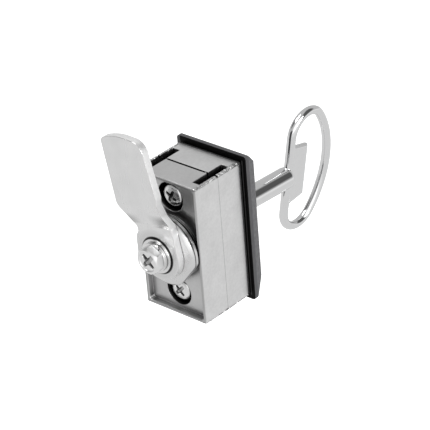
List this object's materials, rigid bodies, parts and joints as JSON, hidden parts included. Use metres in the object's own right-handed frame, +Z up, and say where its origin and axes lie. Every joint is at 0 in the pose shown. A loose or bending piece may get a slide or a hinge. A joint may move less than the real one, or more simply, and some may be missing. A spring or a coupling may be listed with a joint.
{
  "type": "quarter turn cam lock",
  "caption": "Quarter turn cam lock for a cabinet door: flat-rod case with a cranked cam and a stop disc, turned by a removable key with a D-shaped bow.",
  "frame": {"origin": "where the spindle axis meets the plane between the case and the gasket, which is where the door panel sits", "axes": "+Y along the spindle towards the key and the outside of the door, +Z up along the rods, +X to the right seen from the cam side"},
  "size_m": [0.0357, 0.1086, 0.0803],
  "materials": {
    "case_zinc": "zinc die casting, satin plated",
    "plate_black": "black, fine textured coating",
    "gasket_rubber": "soft sealing rubber",
    "seal_rubber": "O-ring rubber",
    "bushing_brass": "turned brass",
    "key_chrome": "bright chrome on a zinc casting",
    "cam_steel": "zinc plated steel plate, satin",
    "disc_steel": "zinc plated steel, turned",
    "fastener_steel": "zinc plated steel, bright",
    "inner_steel": "plain machined steel"
  },
  "bodies": {
    "lock_case": {"rear_housing": "case_zinc", "front_housing": "case_zinc", "front_plate": "plate_black", "gasket": "gasket_rubber", "rear_bushing": "bushing_brass", "stop_pin": "inner_steel", "locating_pins": "inner_steel", "housing_screws": "fastener_steel"},
    "spindle": {"spindle": "inner_steel", "key_pin": "inner_steel", "rotor_seal": "seal_rubber", "drive_pinion": "inner_steel", "thrust_washer": "inner_steel", "stop_disc": "disc_steel", "cam": "cam_steel", "flat_washer": "fastener_steel", "spring_washer": "fastener_steel", "cam_screw": "fastener_steel"},
    "key": {"key": "key_chrome"}
  },
  "joints": [
    {"name": "spindle_turn", "type": "hinge", "parent": "lock_case", "child": "spindle", "pos_m": [0, 0, 0], "axis": [0, -1, 0], "range_deg": [-12, 78]},
    {"name": "key_pull", "type": "slide", "parent": "spindle", "child": "key", "axis": [0, 1, 0], "range_m": [0, 0.03]}
  ]
}
